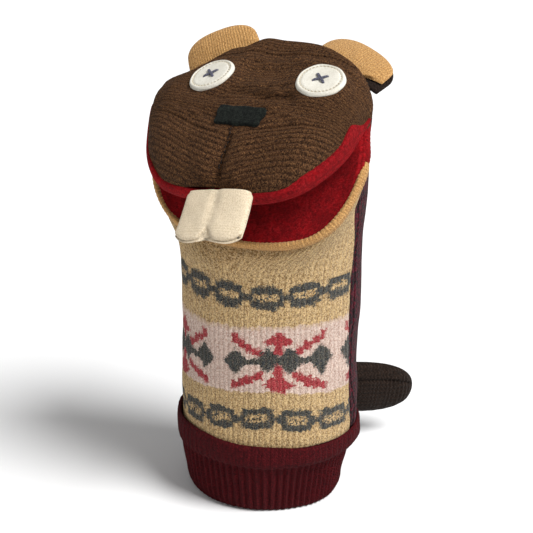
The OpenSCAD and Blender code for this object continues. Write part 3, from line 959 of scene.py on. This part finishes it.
def rest_on(surface, seat, reach):
    """Smooth height of the head over a patch's seat, as a function of the place on it."""
    def terms(px, py):
        return [1 + 0 * px, px, py, px * px, px * py, py * py]

    rows, heights = [], []
    for px in np.linspace(-reach, reach, 13):
        for py in np.linspace(-reach, reach, 13):
            if np.hypot(px, py) > reach:
                continue
            hit = surface.ray_cast(Vector(place(np.array([px, py, 25]), seat)), Vector(-seat[3]))[0]
            if hit is not None:
                rows.append(terms(px, py))
                heights.append((np.array(hit) - seat[0]) @ seat[3])
    rows, heights = np.array(rows), np.array(heights)
    fit = np.linalg.lstsq(rows, heights, rcond=None)[0]
    lift = np.percentile(heights - rows @ fit, 92)
    return lambda px, py: sum(f * term for f, term in zip(fit, terms(px, py))) + lift


def make_eye(side, surface):
    seat = cad_seat(f"{side}_eye_disc")
    ground = rest_on(surface, seat, EYE_R)
    seed = 71 if side == "left" else 75
    stitches, stitch_at, dimple = 34, 0.82, 3.6         # how many, at which share of the radius
    rho = np.r_[np.linspace(0, 0.8, 26), np.linspace(0.82, 1, 22)][:, None]
    phi = circle(288)[None, :]
    wobble = 1 + 0.012 * sin(3 * phi + seed) + 0.008 * sin(7 * phi)
    x, y = rho * EYE_R * wobble * cos(phi), rho * EYE_R * wobble * sin(phi)
    pull = 0.35 + 0.35 * (0.5 + 0.5 * cos(phi * stitches))
    z = EYE_THICK * (1 - np.clip((rho - 0.88) / 0.12, 0, 1) ** 2.4 * 0.75)
    z = z - bell((rho - stitch_at) * EYE_R, 0.6) * pull - 0.5 * bell(rho * EYE_R, dimple)
    top = stack(x, y, z)
    top[..., 2] += lumps(top, 15, seed) * 0.22 + ground(x, y)
    under = stack(x, y, ground(x, y) - 0.5)[::-1]
    rings = np.concatenate([top, under])
    disc = weld(ring_solid(f"{side}_eye", place(rings, seat), rings[..., :2], "eye"))
    settle(disc, "cream_felt", "head", f"{side}_eye_disc")

    # two crossed stitches of doubled thread
    paths = []
    s = np.linspace(-1, 1, 19)
    for turn, lift in ((radians(38), 0.0), (radians(-46), 0.3)):
        for offset in (-0.38, 0.38):
            lx, ly = s * 4.6, offset * (1 - 0.5 * s ** 2)
            px = lx * cos(turn) - ly * sin(turn)
            py = lx * sin(turn) + ly * cos(turn)
            top = EYE_THICK - 0.5 * bell(np.hypot(px, py), dimple)
            height = ground(px, py) + top + 0.25 + lift + 0.35 * (1 - s ** 4) - 1.1 * s ** 8
            paths.append(place(stack(px, py, height), seat))
    sew(f"{side}_eye_cross", paths, 0.4, "grey_thread", "head", f"{side}_eye_stitch")

    # small stitches round the eye's edge
    paths = []
    s = np.linspace(0, 1, 7)
    for k in range(stitches):
        angle = TURN * (k + 0.5) / stitches + (s - 0.5) * 0.12
        px, py = stitch_at * EYE_R * cos(angle), stitch_at * EYE_R * sin(angle)
        height = ground(px, py) + EYE_THICK - 0.5 + 0.3 * sin(pi * s)
        paths.append(place(stack(px, py, height), seat))
    sew(f"{side}_eye_ring", paths, 0.2, "cream_thread", "head", sides=5)


def make_nose(surface):
    seat = cad_seat("nose_patch")
    ground = rest_on(surface, seat, 12)
    s = row(-1, 1, 81)
    t = column(-1, 1, 51)
    # a rounded trapezium, wider at its top
    half_w = mix(12.3, 13.9, (t + 1) / 2) * (1 - 0.05 * np.abs(t) ** 8) + 0.3 * sin(t * 5)
    half_h = 5.9 * (1 - 0.10 * np.abs(s) ** 8) + 0.25 * sin(s * 6 + 1)
    x, y = s * half_w, t * half_h
    edge = dome(np.maximum(np.abs(s), np.abs(t)), 10, 0.5)
    flat = stack(x, y, 0)
    uneven = crumple(flat, 81, (12, 0.3), (5, 0.12))
    top = stack(x, y, ground(x, y) + 0.5 + (1.4 + uneven) * edge)
    under = stack(x, y, ground(x, y) - 0.6)
    obj = sheet_object("nose", place(top, seat), place(under, seat), flat[..., :2], "nose")
    settle(weld(obj), "nose_felt", "head", "nose_patch")

    # stitches of dark thread down the pinched muzzle
    paths = []
    out = np.array([0.0, -0.80, 0.60])
    s = np.linspace(0, 1, 9)
    for k, start in enumerate(np.arange(41.5, 61.5, 2.0)):
        d = start + s * 1.6
        x = MUZZLE_X + 0.10 * (50 - d) + 0.25 * (-1) ** k
        above = on_head(x, d, head_top_h(d) + 12)
        hits = np.array([surface.ray_cast(Vector(q), Vector(-out))[0] for q in above])
        paths.append(hits + out * (0.1 + 0.5 * sin(pi * s))[:, None])
    sew("muzzle_seam", paths, 0.3, "dark_thread", "head", "nose_seam")


# ---- ears

def make_ear(side):
    joint = f"{side}_ear_fold"
    root, along = joint_mm(joint), np.array(JOINT[joint]["axis"])
    solid = {part: cad_points(f"{side}_ear_{part}") for part in ("front", "back")}
    face = solid["front"] - solid["front"].mean(0)
    out = svd(face, full_matrices=False)[2][2]
    out = out - along * (out @ along)
    out *= np.sign(out @ (solid["front"].mean(0) - solid["back"].mean(0))) / norm(out)
    along = along * (1 if side == "left" else -1)               # outwards along the root
    up = np.cross(out, along)
    up *= np.sign(up @ (solid["front"].mean(0) - root))
    reach = (np.concatenate(list(solid.values())) - root) @ np.stack([along, up, out], 1)
    low, high = reach.min(0), reach.max(0)
    half_w, height = (high[0] - low[0]) / 2, high[1] - low[1]
    corner = [(high[0] + low[0]) / 2, low[1], (low[2] + high[2]) / 2]
    a = column(0, pi, 141)
    rho = row(0, 1, 44)
    for part, mat, slot, way in (("front", "tan", "tan_knit", 1), ("back", "bark", "dark_brown_knit", -1)):
        x = rho * (half_w - 0.4) * spow(cos(a), 0.74)
        y = rho * (height - 0.6) * sin(a) ** 0.7
        skirt = -4.0 * (1 - smooth(y / 7))
        gap = 0.1
        if side == "left" and part == "front":                  # its outer corner is trimmed short
            skirt = skirt + 6.5 * smooth((x - 4) / 18) * (1 - y / height)
            x = x - 2.4 * smooth((x - 6) / 16)
        elif side == "left":
            x = x + 2.0 * smooth((-x - 6) / 16)
            gap = gap + 1.4 * smooth((x + 4) / 26) * smooth(y / 9)
        bend = -0.005 * x ** 2 - 0.006 * y ** 2 + 1.6
        thick = 2.5 * dome(rho, 5, 0.5) * (0.75 + 0.25 * smooth(y / 4))
        outer = stack(x, y + skirt, bend + way * (thick + gap))
        seed = 91 + (way > 0) + 4 * (side == "left")
        uneven = lumps(outer, 15, seed) * 0.5 + lumps(outer, 7, seed + 8) * 0.15
        outer[..., 2] += way * uneven * (1 - rho ** 3)
        inner = stack(x, y + skirt, bend + way * (gap - 0.02))
        local = np.concatenate([outer, inner[:, ::-1]], 1)
        p = place(local + corner, (root, along, up, out))
        obj = weld(ring_solid(f"{side}_ear_{part}", p, local[..., :2], mat))
        settle(obj, slot, f"{side}_ear", f"{side}_ear_{part}")


# ---- teeth

def make_teeth():
    across = -np.array(JOINT["teeth_flick"]["axis"])
    lean, length, plump, pitch = radians(38), 27.4, 2.3, 3.4   # pitch is that of the middle stitches
    down = np.array([0, -sin(lean), -cos(lean)])
    down -= across * (down @ across)
    down /= norm(down)
    out = np.cross(across, down)
    out *= np.sign(-out[1])
    seat = joint_mm("teeth_flick"), across, down, out
    s = row(-1, 1, 121)
    t = column(0, 1, 90)
    edge = np.minimum(dome(np.abs(s), 14, 0.5), dome(t, 16, 0.5))
    for part, grow, shift, way in (("front", 1.0, 0.0, 1), ("back", 0.99, 1.3, -1)):
        half = mix(18.3, 18.8, smooth(t * 1.2)) * grow * (1 - 0.07 * (1 - smooth(t * 9)))
        x = s * half + 0.9 * (1 - t)
        lobe = np.abs(np.abs(s) - 0.5) * 2
        bottom = length + shift - 4.2 * lobe ** 2.4 - 2.6 * bell(s, 0.17)
        y = mix(0.4, bottom, t)
        flat = stack(x, y, 0)
        soft = lumps(flat, 16, 95 + way) * 0.55 + lumps(flat, 7, 97 + way) * 0.18
        if way > 0:
            groove = 1.0 * bell(s * half, 2.6) * (0.9 + 0.1 * sin(y * TURN / pitch))
            lines = 0.13 * sin(y * TURN / 1.5) * smooth((y - 18) / 5)
            face = (plump - groove + soft + lines) * edge
        else:
            face = (plump * 0.9 + soft) * edge
        curl = 1.6 * t ** 3 - 0.006 * x ** 2
        outer = stack(x, y, curl + way * (face + 0.12))
        inner = stack(x, y, curl + way * 0.1)
        p = np.concatenate([outer, inner[:, ::-1]], 1)
        obj = weld(ring_solid(f"teeth_{part}", place(p, seat), p[..., :2], "tooth"))
        settle(obj, "cream_knit", "teeth", f"teeth_{part}")
    paths = []
    s = np.linspace(0, 1, 7)
    for k in range(7):
        y = 1.8 + k * pitch + s * 2.2
        path = stack(0.15 * (-1) ** k + 0.9 * (1 - y / length), y,
                     1.6 * (y / length) ** 3 + 1.25 + 0.25 * sin(pi * s))
        paths.append(place(path, seat))
    sew("teeth_seam_thread", paths, 0.2, "cream_thread", "teeth", "teeth_seam")


# ---- tail

def make_tail():
    yaw, droop = radians(45), radians(7)
    along = np.array([sin(yaw) * cos(droop), cos(yaw) * cos(droop), -sin(droop)])
    near = np.array([cos(yaw), -sin(yaw), 0])             # out of the side towards +X
    up = np.cross(near, along)
    up *= np.sign(up[2])
    length, half_h, plump = 65.0, 14.6, 8.2
    base = -2.2                                                     # its seam on the sleeve
    u = sin(column(0, pi / 2, 90))
    s = base + (length - base) * u                                  # along the tail
    half = half_h * (0.90 + 0.10 * smooth(u * 2)) * dome((u - 0.45) / 0.55, 2.6, 1 / 2.2)
    ring = circle(96)[None, :]
    wide, high = cos(ring), sin(ring)
    fat = plump * (0.14 + 0.86 * smooth(u * 4)) * dome(u, 4, 0.6)
    # the seam that joins the two panels stands as a thin flange along the edge, and puckers it
    y = half * spow(wide, 0.85) + np.sign(wide) * bell(high, 0.16) * 1.1 * np.clip(half / 6, 0, 1)
    pucker = sin(s * TURN / 6.5 + np.sign(wide))
    z = fat * high + np.sign(high) * bell(np.abs(wide) - 0.85, 0.14) * pucker * 0.35
    flat = stack(s, y, z)
    swell = crumple(flat, 101, (26, 0.8), (10, 0.2))
    ends = np.clip(half / 8, 0, 1)
    z = z + high * swell * smooth(u * 5) * ends
    # fine ribs, and a line sewn along the near side with a ridge above it
    line = y - half * 0.45
    sewn = np.where(high > 0, bell(line, 0.9), 0) * smooth(u * 4)
    z = z + (high * 0.28 * sin(s * TURN / 2.8) - 1.3 * sewn + 0.5 * bell(line - 2.2, 1.4)) * ends
    p = place(stack(s, y, z), (joint_mm("tail_swing"), along, up, near))
    obj = weld(ring_solid("tail", p, stack(y + z * 0.2, s), "bark"))
    settle(obj, "dark_brown_knit", "tail", "tail_left_panel", "tail_right_panel", "tail_filling")


# ---- room, light and camera

def aim(obj, towards):
    obj.rotation_mode = "QUATERNION"
    obj.rotation_quaternion = towards.to_track_quat("-Z", "Y")


def make_stage():
    mesh = bpy.data.meshes.new("floor")
    mesh.from_pydata([(-3, -3, 0), (3, -3, 0), (3, 3, 0), (-3, 3, 0)], [], [(0, 1, 2, 3)])
    floor = add_object("floor", mesh)
    floor.location.z = -0.0004
    material = bpy.data.materials.new("floor")
    material.use_nodes = True
    shader = material.node_tree.nodes["Principled BSDF"]
    shader.inputs["Base Color"].default_value = (0.86, 0.86, 0.86, 1)
    shader.inputs["Roughness"].default_value = 0.8
    mesh.materials.append(material)

    world = bpy.data.worlds.new("studio")
    bpy.context.scene.world = world
    world.use_nodes = True
    background = world.node_tree.nodes["Background"]
    background.inputs["Color"].default_value = WHITE
    background.inputs["Strength"].default_value = 0.33

    key = bpy.data.lights.new("key", "SUN")
    key.energy, key.angle = 4.4, radians(32)
    aim(add_object("key", key), -direction(VIEW_AZ + 54, 50))

    fill = bpy.data.lights.new("fill", "AREA")
    fill.size, fill.energy = 1.2, 2.0
    lamp = add_object("fill", fill)
    lamp.location = (-0.5, -1.3, 0.9)
    aim(lamp, Vector((0, 0, 0.14)) - lamp.location)


def make_camera():
    data = bpy.data.cameras.new("camera")
    camera = add_object("camera", data)
    bpy.context.scene.camera = camera
    back = direction(VIEW_AZ, 17.7)
    camera.location = Vector((0, 0, 0.13)) + back * 0.8
    aim(camera, -back)
    camera.rotation_quaternion = camera.rotation_quaternion @ Matrix.Rotation(
        radians(1.0), 3, "Z").to_quaternion()
    data.sensor_width, data.lens = 36, 100.638
    data.shift_x, data.shift_y = -0.00976, -0.01782
    data.clip_start, data.clip_end = 0.05, 20


make_camera()
make_stage()
make_cuff()
make_front()
make_throat()
make_back()
make_lower_jaw()
head_surface = make_head()
for name in ("left", "right"):
    make_eye(name, head_surface)
    make_ear(name)
make_nose(head_surface)
make_teeth()
make_tail()
bpy.context.scene.view_settings.view_transform = "Standard"
